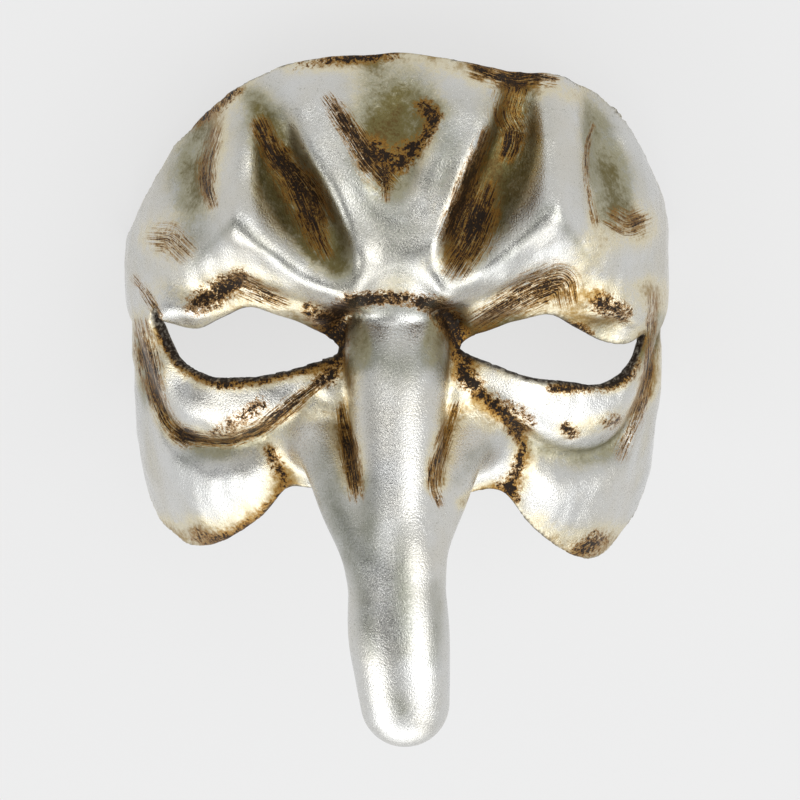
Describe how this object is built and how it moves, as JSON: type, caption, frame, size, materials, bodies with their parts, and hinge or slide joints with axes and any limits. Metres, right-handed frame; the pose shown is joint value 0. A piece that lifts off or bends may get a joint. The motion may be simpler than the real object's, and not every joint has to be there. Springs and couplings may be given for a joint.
{
  "type": "pulcinella mask",
  "caption": "Half mask in silvered papier-mache with heavy brows, two slanted eye holes, full cheek lobes and a long hooked nose, hollow behind, worn over the upper face.",
  "frame": {"origin": "middle of the outline as seen from above, on the plane that the mask lies on", "axes": "+X to the right of someone who looks at the face, +Y to the forehead, +Z out of the face, so the mask lies face up on its back rim"},
  "size_m": [0.1778, 0.176, 0.1519],
  "materials": {
    "silver_leaf": "papier-mache with satin silver leaf, antiqued with olive and brown glaze in the hollows under a thin varnish"
  },
  "bodies": {
    "root": {"mask_shell": "silver_leaf"}
  },
  "joints": []
}
